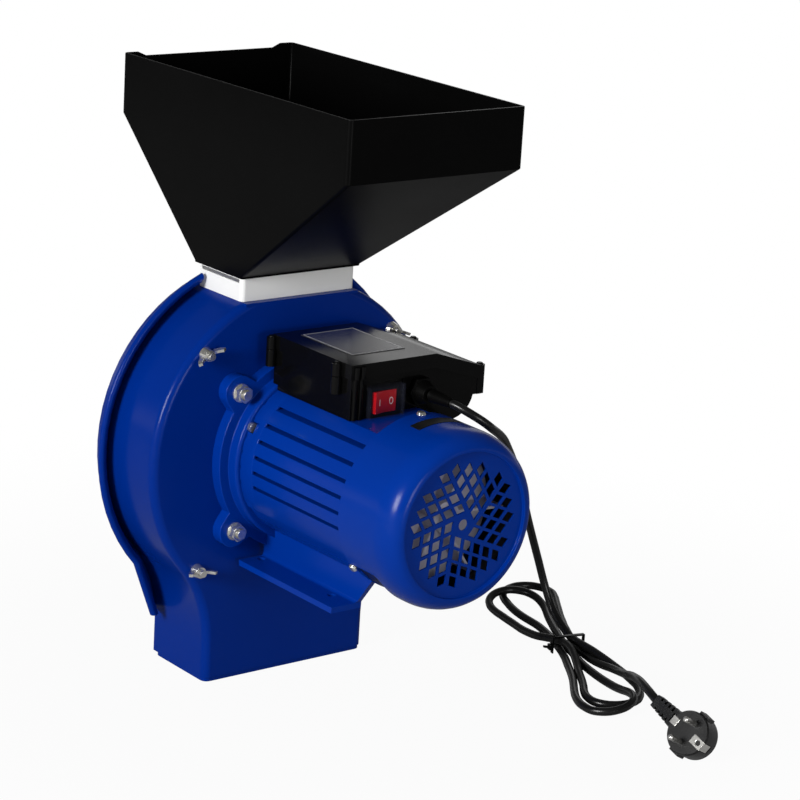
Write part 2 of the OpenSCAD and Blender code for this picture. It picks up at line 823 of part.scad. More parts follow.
module fan_cover_screws() {
    color(zinc) mill() for (a = screw_angles) rotate([0, -a, 0]) translate([0, screw_y, 0]) rotate([0, 90, 0]) {
        translate([0, 0, cowl_seat_r]) cylinder(r = 2, h = 2);
        translate([0, 0, cowl_r]) cylinder(r1 = 4, r2 = 3, h = 2.2);
    }
}

module fan_cover_plate() {
    color(black) mill() turn_part(74, 107) translate([cowl_r, -frame_end - 30]) square([0.5, 12]);
}

// ---------------------------------------------------------------- hopper and neck

function hopper_ring(inset, z, r) = lift(round_rect(inset - hopper_half, hopper_half - inset,
    inset - hopper_rear, hopper_front - inset, r), z);

function throat_ring(out, z, r) = lift(round_rect(-throat_half - out, throat_half + out,
    neck_rear + neck_wall - out, neck_front - neck_wall + out, r), z);

module hopper() {
    z0 = neck_top;
    z1 = z0 + hopper_h - hopper_band;
    z2 = z0 + hopper_h;
    foot_out = neck_wall + hopper_lip;
    color(black) mill() difference() {
        skin([throat_ring(foot_out, z0, 3), throat_ring(foot_out, z0 + 1.5, 3),
            hopper_ring(0, z1, 4), hopper_ring(0, z2, 4)]);
        skin([throat_ring(0, z0 - cut, 1.5), throat_ring(0, z0 + 1, 1.5), throat_ring(neck_wall, z0 + 6, 1.5),
            hopper_ring(hopper_wall, z1 + 1, 2), hopper_ring(hopper_wall, z2 + cut, 2)]);
        // the front wall's edge dips between the corners
        translate([0, hopper_front + cut, 0]) rotate([90, 0, 0]) linear_extrude(hopper_wall + 2 * cut)
            polygon([[14 - hopper_half, z2 + cut], [14 - hopper_half, z2], [22 - hopper_half, z2 - rim_dip],
                [hopper_half - 22, z2 - rim_dip], [hopper_half - 14, z2], [hopper_half - 14, z2 + cut]]);
    }
}

module neck_collar() {
    slot_z = slide_top - slide_t - slide_gap;
    slot_h = slide_t + 2 * slide_gap;
    guide = neck_wall - slide_groove;
    color(white) mill() difference() {
        translate([0, 0, flat_h]) linear_extrude(neck_h) difference() {
            polygon(round_rect(-neck_half, neck_half, neck_rear, neck_front, 4));
            polygon(round_rect(-throat_half, throat_half, neck_rear + neck_wall, neck_front - neck_wall, 1.5));
        }
        // guide slot for the feed slide, open on the left
        translate([-neck_half - cut, neck_rear + guide, slot_z])
            cube([neck_half + throat_half + 4 + cut, neck_len - 2 * guide, slot_h]);
    }
}

module feed_slide() {
    guide = neck_wall - slide_groove + slide_gap;
    color(steel) mill() translate([0, 0, slide_top - slide_t]) {
        translate([0.5 - neck_half, neck_rear + guide, 0])
            cube([neck_half + throat_half + 2, neck_len - 2 * guide, slide_t]);
    }
}

// ---------------------------------------------------------------- switch box

// Outline of the box's roof, from its left edge over the ridge to its right edge
function roof(left, right, drop) = let (slope = box_fall / (box_right - box_ridge))
    [[right, box_top - drop - (right - box_ridge) * slope], [box_ridge, box_top - drop], [left, box_top - drop]];

module box_outline(inset, drop) {
    floor_round = side_round - inset;
    difference() {
        polygon(concat(arc(box_right - side_round, box_floor + side_round, floor_round, 270, 360, 8),
            roof(inset - box_left, box_right - inset, drop), [[inset - box_left, flat_z + seat_gap + inset],
            [30, flat_z + seat_gap + inset], [30, box_floor + inset]]));
        // the motor frame under it, with its flat top
        intersection() {
            circle(box_seat_r + inset);
            translate([-frame_r, 0]) square([2 * frame_r, flat_z + seat_gap + inset]);
        }
    }
}

// The box's solid shape: its right part stops short of the flange's nut, and its left part of the boss
module box_shape(inset, drop, from) {
    nut_room = 26;
    difference() {
        union() {
            prism_y(from, -nut_room - inset) box_outline(inset, drop);
            prism_y(from, box_rear - inset) difference() {
                box_outline(inset, drop);
                translate([flange_bolt_x - 16 - inset, 0]) square([box_right, 76 + inset]);
            }
        }
        rod_y(boss_r + seat_gap + inset, -boss_end - seat_gap - inset, 0);
    }
}

// Screw lugs: place, the height of the seam beside it, and how far the lug stands from the wall
lug_places = [[-box_left - 3, -15.5, 96.5], [-box_left - 3, -106, 96.5],
    [box_right + 7, -22, 80], [box_right + 7, -112, 80]];
lug_r = 4.5;
lug_down = 15;
lug_up = 10;
// Ribs on the box's face beside its left corner, capped on the lid
rib_places = [4 - box_left, 10 - box_left];
rib_r = 2;
rib_seam = 96.5;

// A lug with the web that joins it to the wall
module lug(p, from, to) {
    wall_x = p[0] > 0 ? box_right : -box_left;
    translate([p[0], p[1], from]) cylinder(r = lug_r, h = to - from);
    translate([min(p[0], wall_x), p[1] - lug_r / 2, from]) cube([abs(p[0] - wall_x), lug_r, to - from]);
}

module switch_box() {
    seam = lid_rim;
    color(black) mill() difference() {
        union() {
            box_shape(0, seam, box_face);
            for (p = lug_places) lug(p, p[2] - lug_down, p[2] - 0.6);
            for (x = rib_places)
                translate([x, box_face, flat_z + seat_gap]) cylinder(r = rib_r, h = rib_seam - flat_z - 1);
        }
        // hollow inside
        box_shape(box_wall, -5, box_face + box_wall + face_step);
        prism_y(box_face + box_wall, box_face + box_wall + face_step + cut) intersection() {
            box_outline(box_wall, -5);
            translate([-box_left, 0]) square([box_left + step_x - box_wall, 200]);
        }
        // the face steps back around the gland
        translate([step_x, box_face - cut, 0]) cube([2 * box_right, face_step + cut, 300]);
        // slot beside the switch
        translate([step_x - 2.5, box_face - cut, 65]) cube([1.5, 2.5, 26]);
        translate([switch_x, 0, switch_z]) translate([-13.8, box_face - cut, -11.6]) cube([27.6, 8, 23.2]);
        translate([gland_x, 0, gland_z]) rod_y(8, box_face, box_face + 14);
        for (p = lug_places) translate([p[0], p[1], p[2] - 12]) cylinder(r = 1.6, h = 14);
    }
}

module box_lid() {
    over = 1.5;
    color(black) mill() difference() {
        union() {
            prism_y(box_face - over, box_rear + over) difference() {
                polygon(concat(roof(-box_left - over, box_right + over, 0),
                    [for (p = [2:-1:0]) roof(-box_left - over, box_right + over, lid_rim)[p]]));
            }
            for (p = lug_places) lug(p, p[2], p[2] + lug_up);
            for (x = rib_places) translate([x, box_face - 1.5, rib_seam]) cylinder(r = rib_r + 0.4, h = lug_up);
        }
        prism_y(box_face + box_wall, box_rear - box_wall)
            polygon(concat(roof(box_wall - box_left, box_right - box_wall, box_wall),
                [for (p = [2:-1:0]) roof(box_wall - box_left, box_right - box_wall, lid_rim + cut)[p]]));
        for (p = lug_places) translate([p[0], p[1], p[2] - cut]) cylinder(r = 1.6, h = lug_up + 2 * cut);
    }
}

module lid_screws() {
    color(zinc) mill() for (p = lug_places) translate([p[0], p[1], p[2]]) {
        translate([0, 0, -11]) cylinder(r = 1.6, h = 11 + lug_up);
        translate([0, 0, lug_up]) cylinder(r1 = 3.2, r2 = 2.4, h = 1.6);
    }
}

module lid_plate() {
    side = 14;
    thick = 0.4;
    color(zinc) mill() translate([17 - box_left, box_face + 23, box_top])
        cube([box_ridge - side - 17 + box_left, box_rear - 12 - box_face - 23, thick]);
}

module switch_frame() {
    color(black) mill() translate([switch_x, box_face, switch_z]) difference() {
        union() {
            translate([0, -2, 0]) rotate([-90, 0, 0]) linear_extrude(2)
                polygon(round_rect(-switch_w / 2, switch_w / 2, -switch_h / 2, switch_h / 2, 1.5));
            translate([-13.6, 0, -11.4]) cube([27.2, 20, 22.8]);
        }
        translate([-12.4, -3, -9.4]) cube([24.8, 14, 18.8]);
        translate([0, pivot_y, -10.6]) cylinder(r = pivot_r + run_fit, h = 21.2);
    }
}

module switch_rocker() {
    face = [[-rocker_half, -5], [rocker_half, -5], [rocker_half, 3.6], [0, 2.2], [-rocker_half, 3.6]];
    color("red") mill() translate([switch_x, box_face + pivot_y, switch_z]) rotate([0, 0, rocker_tilt]) {
        translate([0, -pivot_y, -9]) mirror([0, 1, 0]) linear_extrude(18) polygon(face);
        translate([0, 0, -10.4]) cylinder(r = pivot_r, h = 20.8);
    }
}

module switch_hood() {
    proud = 6.5;
    wall = 0.8;
    half_w = 17.5;
    up = 14;
    down = switch_z - flat_z - seat_gap;
    color([0.7, 0.75, 0.85, 0.4]) mill() translate([switch_x + 0.5, box_face, switch_z]) difference() {
        translate([-half_w, -proud, -down]) cube([2 * half_w, proud, down + up]);
        translate([wall - half_w, wall - proud, wall - down])
            cube([2 * (half_w - wall), proud, down + up - 2 * wall]);
    }
}

module start_capacitor() {
    r = 17;
    color(white) mill() translate([box_right - box_wall - r - 4.5, 0, box_floor + box_wall + r + seat_gap])
        rod_y(r, box_face + r - 3, box_rear - r - 7);
}

module run_capacitor() {
    r = 12;
    color(white) mill() translate([box_ridge - 25, 0, flat_z + box_wall + r + 2 * seat_gap])
        rod_y(r, box_face + 2.5 * r, box_rear - 1.5 * r);
}

module terminal_block() {
    size = [22, 36, 12];
    ways = 4;
    way_r = 2;
    color(white) mill() translate([6 - box_left, box_rear - 11 - size[1], flat_z + box_wall + 2 * seat_gap])
        difference() {
            cube(size);
            for (i = [0:ways - 1]) translate([size[0] / 2, (i + 0.5) * size[1] / ways, 2 * way_r])
                cylinder(r = way_r, h = size[2]);
        }
}

module cable_gland() {
    face = box_face + face_step;
    color(black) mill() translate([gland_x, 0, gland_z]) difference() {
        union() {
            rod_y(7.8, face, face + 12);
            hex_y(22, face - 6, face);
            translate([0, face - 16, 0]) rotate([-90, 0, 0]) cylinder(r1 = 7.5, r2 = 10, h = 10);
        }
        rod_y(cord_r, face - 17, face + 13);
    }
}

// ---------------------------------------------------------------- cord and plug

function unit(v) = v / norm(v);

// Direction of a route at one of its points
function heading(route, i) = unit(route[min(i + 1, len(route) - 1)] - route[max(i - 1, 0)]);

// A ring of points square to the route
function cord_ring(at, along, r, sides) = let (side = unit(cross(along, [0.2, 0.1, 1])), up = cross(side, along))
    [for (k = [0:sides - 1]) let (a = -360 * k / sides) at + r * (cos(a) * side + sin(a) * up)];

// Smooth points between the hand-placed ones
function smooth(p, n = 3) = [for (i = [0:len(p) - 2], k = [0:n - 1]) let (t = k / n,
        a = p[max(i - 1, 0)], b = p[i], c = p[i + 1], d = p[min(i + 2, len(p) - 1)])
    0.5 * (2 * b + (c - a) * t + (2 * a - 5 * b + 4 * c - d) * t ^ 2 + (3 * b - a - 3 * c + d) * t ^ 3)];

module cord_tube(route, n) {
    path = concat(smooth(route, n), [route[len(route) - 1]]);
    skin([for (i = [0:len(path) - 1]) cord_ring(path[i], heading(path, i), cord_r, 10)]);
}

module power_cord() {
    color(black) cord_tube(cord_route, 2);
}

module cord_tail() {
    color(black) cord_tube(tail_route, 2);
}

// The bundle is tied at its waist and opens into a lobe on each side, here as places and radii
hank_waist = [[241, -33], 13.5];
hank_lobes = [[hank_waist, [[258, 28], 27], [[287, 76], 40]], [hank_waist, [[221, -97], 28], [[197, -143], 36]]];

module cord_hank() {
    color(black) translate([0, 0, floor_z]) linear_extrude(hank_h)
        for (lobe = hank_lobes) hull() for (c = lobe) translate(c[0]) circle(c[1], $fn = 32);
}

module cable_tie() {
    width = 4;
    strap = 1.4;
    half = hank_waist[1] + 0.8;
    color(black) translate([hank_waist[0][0], hank_waist[0][1], floor_z]) rotate([0, 0, -16]) difference() {
        translate([-half - strap, -width / 2, 0]) cube([2 * (half + strap), width, hank_h + strap]);
        translate([-half, -width, -cut]) cube([2 * half, 2 * width, hank_h + cut]);
    }
}

module at_plug() {
    translate(plug_at) rotate(plug_turn) children();
}

module plug_body() {
    depth = 24;
    relief_z = -8;
    color(black) at_plug() difference() {
        union() {
            translate([0, 0, -depth]) cylinder(r1 = plug_r - 3, r2 = plug_r, h = 5);
            translate([0, 0, 5 - depth]) cylinder(r = plug_r, h = depth - 7);
            translate([0, 0, -2]) cylinder(r1 = plug_r, r2 = plug_r - 1, h = 2);
            // side guides
            for (side = [0, 1]) mirror([side, 0, 0]) translate([plug_r - 3, -5, -15]) cube([4.5, 10, 11]);
            // strain relief
            hull() {
                translate([-8, 14, relief_z - 7]) cube([16, 1, 13]);
                translate([-5.5, relief_len - 1, relief_z - 5]) cube([11, 1, 10]);
            }
        }
        for (y = [1, -1]) translate([-4, y > 0 ? clip_y : -clip_y - 4, -13]) cube([8, 4, 14]);
        for (y = [23:4.5:37], side = [0, 1]) mirror([side, 0, 0])
            translate([3.5, y, relief_z - 10]) cube([10, 2, 20]);
    }
}

module plug_pins() {
    pin_r = 2.4;
    length = 19;
    color(zinc) at_plug() for (x = [-9.5, 9.5]) translate([x, 0, 0]) {
        cylinder(r = pin_r, h = length - 1.2);
        translate([0, 0, length - 1.2]) cylinder(r1 = pin_r, r2 = pin_r - 1.2, h = 1.2);
    }
}

// A flank strip in its groove with a plate turned on to the face; one plate has the earth hole
module plug_earth_clips() {
    color(zinc) at_plug() {
        translate([-3.5, clip_y, -12]) cube([7, 1.2, 12]);
        translate([-3.5, clip_y - 5.5, 0]) cube([7, 6.7, 0.8]);
        translate([-3.5, -clip_y - 1.2, -12]) cube([7, 1.2, 12]);
        difference() {
            translate([-4, -clip_y - 1.2, 0]) cube([8, 12, 0.8]);
            translate([0, -13.5, -cut]) cylinder(r = 2.3, h = 3);
        }
    }
}

// ---------------------------------------------------------------- assembly

drum_housing();
outlet_frame();
front_cover();
cover_studs();
wing_nut_upper_left();
wing_nut_upper_right();
wing_nut_lower_left();
wing_nut_lower_right();
sieve();
sieve_rails();
beater_hub();
beater_blade();
blade_nut();
motor_shaft();
rotor_core();
cooling_fan();
front_bearing();
rear_bearing();
stator_core();
stator_windings();
motor_frame();
motor_foot();
tie_screws();
drive_end_flange();
rear_end_shield();
flange_bolts();
flange_washers();
flange_nuts();
fan_cover();
fan_cover_screws();
fan_cover_plate();
hopper();
neck_collar();
feed_slide();
switch_box();
box_lid();
lid_screws();
lid_plate();
switch_frame();
switch_rocker();
switch_hood();
start_capacitor();
run_capacitor();
terminal_block();
cable_gland();
power_cord();
cord_tail();
cord_hank();
cable_tie();
plug_body();
plug_pins();
plug_earth_clips();
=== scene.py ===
"""Electric grain mill: camera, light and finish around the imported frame. Metres, +Z up."""

import math

import bpy
from mathutils import Matrix, Vector


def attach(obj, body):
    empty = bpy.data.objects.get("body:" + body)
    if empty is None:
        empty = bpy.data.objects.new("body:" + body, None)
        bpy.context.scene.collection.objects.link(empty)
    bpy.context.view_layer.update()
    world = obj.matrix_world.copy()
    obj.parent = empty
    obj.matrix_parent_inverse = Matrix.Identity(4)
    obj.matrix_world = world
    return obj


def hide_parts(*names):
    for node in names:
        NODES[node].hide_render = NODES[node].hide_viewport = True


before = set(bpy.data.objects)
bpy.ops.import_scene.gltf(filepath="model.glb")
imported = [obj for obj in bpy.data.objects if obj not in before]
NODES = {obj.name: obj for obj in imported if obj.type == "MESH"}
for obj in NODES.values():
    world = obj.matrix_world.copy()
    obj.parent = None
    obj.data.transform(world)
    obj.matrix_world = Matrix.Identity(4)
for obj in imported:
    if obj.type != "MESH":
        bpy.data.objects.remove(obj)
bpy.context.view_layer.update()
MM = 0.001

# Heights of the rotor axis and of the floor, and the place of the drum's rear face along +Y
AXIS_Z = 0.0935
FACE_Y = 0.064
FLOOR_Z = -0.104

# Half the spacing of the flange's bolts, across and up, and the rear face of its plate, in
# millimetres about the rotor axis
BOLT_X, BOLT_Z = 67, 60.3
FLANGE_FACE_Y = -11


def mill(x, y, z):
    """A point drawn about the rotor axis, in millimetres, at its place in metres."""
    return Vector((x * MM, y * MM + FACE_Y, z * MM + AXIS_Z))


# ------------------------------------------------------------------ camera

def place_camera():
    """The camera, from its place and the three directions of its picture."""
    data = bpy.data.cameras.new("camera")
    data.lens = 127.3
    data.sensor_width = 36
    data.clip_end = 50
    camera = bpy.data.objects.new("camera", data)
    bpy.context.collection.objects.link(camera)
    right = Vector((0.79008, -0.61017, 0.05893))
    up = Vector((0.12504, 0.25452, 0.95895))
    back = Vector((-0.60012, -0.75027, 0.27739))
    turn = Matrix((right, up, back)).transposed().to_4x4()
    camera.matrix_world = Matrix.Translation((-1.3644, -1.7797, 0.8031)) @ turn
    bpy.context.scene.camera = camera


place_camera()


# ------------------------------------------------------------------ power cord

CORD_R = 0.0036
STEPS_BETWEEN_POINTS = 4
# From the gland down to the tie, as in the part's source, in millimetres
CORD_ROUTE = [
    (37, -62, 170), (37, -74, 170), (38.5, -86, 169.5), (42, -97, 167.5), (48, -106.5, 163),
    (56.5, -112, 157), (66, -113, 150), (85, -104.5, 137.5), (100.5, -95.5, 122),
    (115.5, -85, 107), (131, -71.5, 94), (146, -56.5, 83), (161, -41.5, 72), (176, -27, 60),
    (190.5, -14.5, 46), (204.5, -3.5, 29), (217, 4.5, 10.5), (228.5, 9.5, -10), (237.5, 10, -32),
    (244, 6.5, -55), (246.5, -4.5, -76), (246, -24, -89), (245, -36, -92)]
# Round the two loops on each side of the tie: place and height above the floor
LOOPS = [
    (244.5, -48, 11.2), (244.5, -60, 10.4), (244.5, -71.5, 9), (244.5, -83.5, 7.2),
    (243.5, -96, 5.8), (242, -108, 4.6), (239, -119.5, 4), (235, -131, 3.8), (229, -141.5, 3.6),
    (221.5, -150.5, 3.6), (211, -157.5, 3.6), (197, -159, 3.6), (184, -153, 3.6),
    (177.5, -142, 3.6), (179, -130, 3.8), (185, -119.5, 3.8), (192.5, -110, 4),
    (199.5, -100, 4.2), (206, -89.5, 5), (212.5, -79.5, 6), (219, -69.5, 7.8), (225, -59, 9.6),
    (230, -48.5, 11), (233, -37, 11.4), (233.5, -25, 10.2), (232.5, -13, 8.2),
    (231.5, -1.5, 6.2), (232.5, 10.5, 4.8), (234, 22.5, 4), (236.5, 34, 3.6), (238.5, 46, 3.6),
    (240.5, 58.5, 3.8), (242.5, 70.5, 4), (246, 82, 5), (253, 91.5, 7), (264.5, 96.5, 9.4),
    (278.5, 94.5, 10.8), (289.5, 85.5, 10), (293.5, 74, 8), (291.5, 62, 6), (287, 51.5, 4.6),
    (280.5, 41, 4), (274, 30.5, 3.8), (268, 20, 3.8), (262, 9.5, 3.8), (256.5, -1, 3.8),
    (251, -11.5, 3.6), (246, -22.5, 3.6), (241, -33.5, 3.6), (236.5, -44.5, 3.6),
    (232, -55.5, 3.6), (227.5, -67, 3.6), (224, -78, 3.6), (221, -90, 3.6), (218.5, -102, 3.6),
    (216.5, -113.5, 3.8), (214.5, -125.5, 4.4), (212, -137.5, 6.2), (209, -148.5, 8.8),
    (204.5, -159.5, 10.4), (196.5, -168.5, 10.4), (184, -172.5, 8.4), (171, -168, 5.8),
    (163, -157, 4), (162.5, -145, 3.8), (166, -133.5, 3.6), (172, -123, 3.6),
    (179, -113.5, 3.6), (187, -103.5, 3.6), (194.5, -94, 3.6), (201.5, -84, 3.6),
    (208, -74, 3.6), (214.5, -63.5, 3.8), (221, -53.5, 3.8), (227, -43, 3.8),
    (232.5, -32.5, 3.8), (237.5, -21.5, 3.8), (242.5, -10.5, 3.8), (247, 0.5, 3.8),
    (250.5, 12, 3.8), (253.5, 23.5, 3.8), (255, 35.5, 3.8), (256.5, 47.5, 3.8),
    (259, 59.5, 3.8), (262.5, 71, 3.8), (267, 82, 3.8), (272, 93, 3.6), (279, 103, 3.8),
    (289.5, 110, 4.2), (303, 112, 4.6), (316, 106, 4.6), (322.5, 95, 4.2), (322, 83, 4),
    (316.5, 72, 3.8), (309.5, 62, 3.8), (302.5, 52, 3.8), (295.5, 42, 3.8), (288.5, 32, 3.8),
    (282, 21.5, 3.6), (275.5, 11.5, 3.6), (269.5, 1, 3.6), (263.5, -9.5, 3.6),
    (257.5, -20, 3.6), (252, -30.5, 3.6), (247.5, -41.5, 3.6), (243.5, -53, 3.8),
    (240.5, -64.5, 4)]
# Out of the bundle and up into the plug
TAIL_ROUTE = [
    (238, -76, -99), (236, -88, -97.5), (234, -99.5, -95.5), (226, -121.5, -90.5),
    (213, -140, -83), (199.5, -158, -74.5), (187, -177.5, -67), (175.5, -197.5, -62),
    (166, -219.5, -62), (163, -231, -64.5)]


def smooth_path(points, steps):
    """A smooth line through points in millimetres, as Vectors in metres."""
    path = []
    last = len(points) - 1
    for i in range(last):
        a, b, c, d = (Vector(points[min(max(i + k, 0), last)]) for k in (-1, 0, 1, 2))
        for k in range(steps):
            t = k / steps
            path.append(0.5 * (2 * b + (c - a) * t + (2 * a - 5 * b + 4 * c - d) * t ** 2
                               + (3 * b - a - 3 * c + d) * t ** 3) * MM)
    path.append(Vector(points[last]) * MM)
    return path


def make_cord():
    """The whole lead as one round tube, with the line that it follows."""
    floor = FLOOR_Z / MM
    points = CORD_ROUTE + [(x, y, h + floor) for x, y, h in LOOPS] + TAIL_ROUTE
    path = smooth_path(points, STEPS_BETWEEN_POINTS)
    above_floor = 0.00002
    for at in path:
        at.z = max(at.z, FLOOR_Z + CORD_R + above_floor)
    curve = bpy.data.curves.new("power_lead", "CURVE")
    curve.dimensions = "3D"
    curve.bevel_depth = CORD_R
    curve.bevel_resolution = 4
    curve.use_fill_caps = True
    spline = curve.splines.new("POLY")
    spline.points.add(len(path) - 1)
    for point, at in zip(spline.points, path):
        point.co = (*at, 1)
    lead = bpy.data.objects.new("power_lead", curve)
    bpy.context.collection.objects.link(lead)
    bpy.ops.object.select_all(action="DESELECT")
    lead.select_set(True)
    bpy.context.view_layer.objects.active = lead
    bpy.ops.object.convert(target="MESH")
    bpy.ops.object.shade_smooth_by_angle(angle=math.radians(60))
    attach(lead, "mill")
    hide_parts("power_cord", "cord_tail", "cord_hank")
    return lead, path


lead, cord_path = make_cord()


# ------------------------------------------------------------------ node groups and materials

def new_group(name, inputs, outputs):
    """An empty shader group with its sockets; gives the group, its input and its output nodes."""
    group = bpy.data.node_groups.new(name, "ShaderNodeTree")
    for label, kind, value in inputs:
        socket = group.interface.new_socket(label, in_out="INPUT", socket_type=kind)
        if value is not None:
            socket.default_value = value
    for label, kind in outputs:
        group.interface.new_socket(label, in_out="OUTPUT", socket_type=kind)
    return group, group.nodes.new("NodeGroupInput"), group.nodes.new("NodeGroupOutput")


def make_flow_group():
    """Slow changes of a finish over a surface: a mask and a fine grain, both 0 to 1."""
    group, entry, leave = new_group("surface_flow",
        [("Cloud Scale", "NodeSocketFloat", 9.0), ("Grain Scale", "NodeSocketFloat", 700.0)],
        [("Cloud", "NodeSocketFloat"), ("Grain", "NodeSocketFloat")])
    place = group.nodes.new("ShaderNodeTexCoord")
    for label, detail, out in (("Cloud Scale", 3.0, "Cloud"), ("Grain Scale", 2.0, "Grain")):
        noise = group.nodes.new("ShaderNodeTexNoise")
        noise.inputs["Detail"].default_value = detail
        group.links.new(place.outputs["Object"], noise.inputs["Vector"])
        group.links.new(entry.outputs[label], noise.inputs["Scale"])
        group.links.new(noise.outputs["Fac"], leave.inputs[out])
    return group


def make_lines_group():
    """Fine brushed lines along X, for drawn and turned metal, 0 to 1."""
    group, entry, leave = new_group("brushed_lines",
        [("Scale", "NodeSocketFloat", 60.0)], [("Lines", "NodeSocketFloat")])
    place = group.nodes.new("ShaderNodeTexCoord")
    stretch = group.nodes.new("ShaderNodeMapping")
    stretch.inputs["Scale"].default_value = (1.0, 14.0, 14.0)
    noise = group.nodes.new("ShaderNodeTexNoise")
    noise.inputs["Detail"].default_value = 4.0
    group.links.new(place.outputs["Object"], stretch.inputs["Vector"])
    group.links.new(stretch.outputs["Vector"], noise.inputs["Vector"])
    group.links.new(entry.outputs["Scale"], noise.inputs["Scale"])
    group.links.new(noise.outputs["Fac"], leave.inputs["Lines"])
    return group


FLOW = make_flow_group()
LINES = make_lines_group()


def finish_of(name, deep, light, rough, metallic=0.0, coat=0.0, cloud=9.0, grain=700.0,
              grain_depth=0.00002, group=FLOW, specular=0.5, spread=0.06):
    """A material whose colour runs between two shades, with varying gloss and a fine grain.

    rough is the middle roughness and spread its change to each side. With the group LINES,
    grain is the scale of the brushed lines."""
    material = bpy.data.materials.new(name)
    material.use_nodes = True
    tree = material.node_tree
    shader = tree.nodes["Principled BSDF"]
    shader.inputs["Metallic"].default_value = metallic
    shader.inputs["Coat Weight"].default_value = coat
    shader.inputs["Coat Roughness"].default_value = 0.18
    shader.inputs["Specular IOR Level"].default_value = specular
    source = tree.nodes.new("ShaderNodeGroup")
    source.node_tree = group
    if group is FLOW:
        source.inputs["Cloud Scale"].default_value = cloud
        source.inputs["Grain Scale"].default_value = grain
        mask, fine = source.outputs["Cloud"], source.outputs["Grain"]
    else:
        source.inputs["Scale"].default_value = grain
        mask = fine = source.outputs["Lines"]
    mix = tree.nodes.new("ShaderNodeMix")
    mix.data_type = "RGBA"
    mix.inputs["A"].default_value = (*deep, 1)
    mix.inputs["B"].default_value = (*light, 1)
    tree.links.new(mask, mix.inputs["Factor"])
    tree.links.new(mix.outputs["Result"], shader.inputs["Base Color"])
    span = tree.nodes.new("ShaderNodeMapRange")
    span.inputs["To Min"].default_value = rough - spread
    span.inputs["To Max"].default_value = rough + spread
    tree.links.new(mask, span.inputs["Value"])
    tree.links.new(span.outputs["Result"], shader.inputs["Roughness"])
    bump = tree.nodes.new("ShaderNodeBump")
    bump.inputs["Strength"].default_value = 0.5
    bump.inputs["Distance"].default_value = grain_depth
    tree.links.new(fine, bump.inputs["Height"])
    tree.links.new(bump.outputs["Normal"], shader.inputs["Normal"])
    return material


# A darker copy of the blue enamel for the drum's housing, outlet and front cover: painted shade,
# which darkens the drum's rear face where the shade falls on it
SHADED_DRUM_PAINT = finish_of("blue_enamel_painted_shade", (0.0, 0.0165, 0.172), (0.0, 0.0205, 0.204), 0.20,
                       grain=420.0, grain_depth=0.00003, specular=0.08, spread=0.02)
PAINT = finish_of("blue_enamel", (0.0, 0.0230, 0.222), (0.0, 0.0285, 0.262), 0.20,
                  grain=420.0, grain_depth=0.00003, specular=0.10, spread=0.02)
CAST_PAINT = finish_of("blue_enamel_cast", (0.0, 0.0230, 0.222), (0.0, 0.0285, 0.262), 0.24,
                       grain=260.0, grain_depth=0.00006, specular=0.10, spread=0.02)
BOX_PLASTIC = finish_of("black_box_plastic", (0.0016, 0.0016, 0.0016),
                        (0.0030, 0.0030, 0.0030), 0.16, grain=1500.0, specular=0.11)
HOPPER_PLASTIC = finish_of("black_hopper_plastic", (0.0012, 0.0012, 0.0012),
                           (0.0022, 0.0022, 0.0022), 0.30, coat=0.02, grain=900.0,
                           grain_depth=0.00003, specular=0.03)
NECK_PLASTIC = finish_of("white_neck_plastic", (0.72, 0.72, 0.71), (0.80, 0.80, 0.79), 0.38,
                         grain=900.0)
ZINC = finish_of("zinc_plate", (0.62, 0.61, 0.58), (0.84, 0.83, 0.79), 0.20, metallic=0.9,
                 cloud=120.0, grain=1200.0, spread=0.04)
BARE_STEEL = finish_of("bare_steel", (0.42, 0.42, 0.43), (0.60, 0.60, 0.61), 0.32, metallic=1.0,
                       group=LINES, grain=60.0)
CORE_STEEL = finish_of("core_steel", (0.16, 0.16, 0.17), (0.26, 0.26, 0.27), 0.5, metallic=0.8,
                       group=LINES, grain=90.0)
FAN_PLASTIC = finish_of("grey_fan_plastic", (0.52, 0.50, 0.57), (0.66, 0.64, 0.72), 0.5, cloud=30.0,
                        grain=500.0)
COPPER = finish_of("copper_windings", (0.42, 0.13, 0.05), (0.62, 0.22, 0.09), 0.35, metallic=1.0,
                   group=LINES, grain=200.0)
RED_PLASTIC = finish_of("red_rocker_plastic", (0.42, 0.002, 0.004), (0.56, 0.004, 0.008), 0.2,
                        coat=0.3)
CORD_RUBBER = finish_of("cord_rubber", (0.005, 0.005, 0.005), (0.008, 0.008, 0.008), 0.28,
                        cloud=30.0, grain=1400.0, specular=0.35)
PLUG_RUBBER = finish_of("plug_rubber", (0.006, 0.006, 0.006), (0.010, 0.010, 0.010), 0.26,
                        cloud=60.0, grain=1400.0, specular=0.35)
PLATE = finish_of("plate_foil", (0.14, 0.14, 0.145), (0.28, 0.28, 0.29), 0.26, metallic=0.85,
                  cloud=22.0, grain=60.0, spread=0.06)
MARK_GREY = finish_of("mark_grey", (0.30, 0.30, 0.31), (0.42, 0.42, 0.43), 0.35)
MARK_WHITE = finish_of("mark_white", (0.72, 0.70, 0.70), (0.80, 0.78, 0.78), 0.5)
GLAND_RUBBER = finish_of("gland_rubber", (0.0012, 0.0012, 0.0012), (0.0024, 0.0024, 0.0024),
                         0.45, cloud=60.0, grain=1400.0, specular=0.06)
# Black foil of the fan cover's plate; the same black also serves as painted shade inside the fan
# cover
BLACK_PLATE_AND_SHADE = finish_of("black_foil_and_painted_shade", (0.004, 0.004, 0.004), (0.008, 0.008, 0.008), 0.3,
                       specular=0.3)


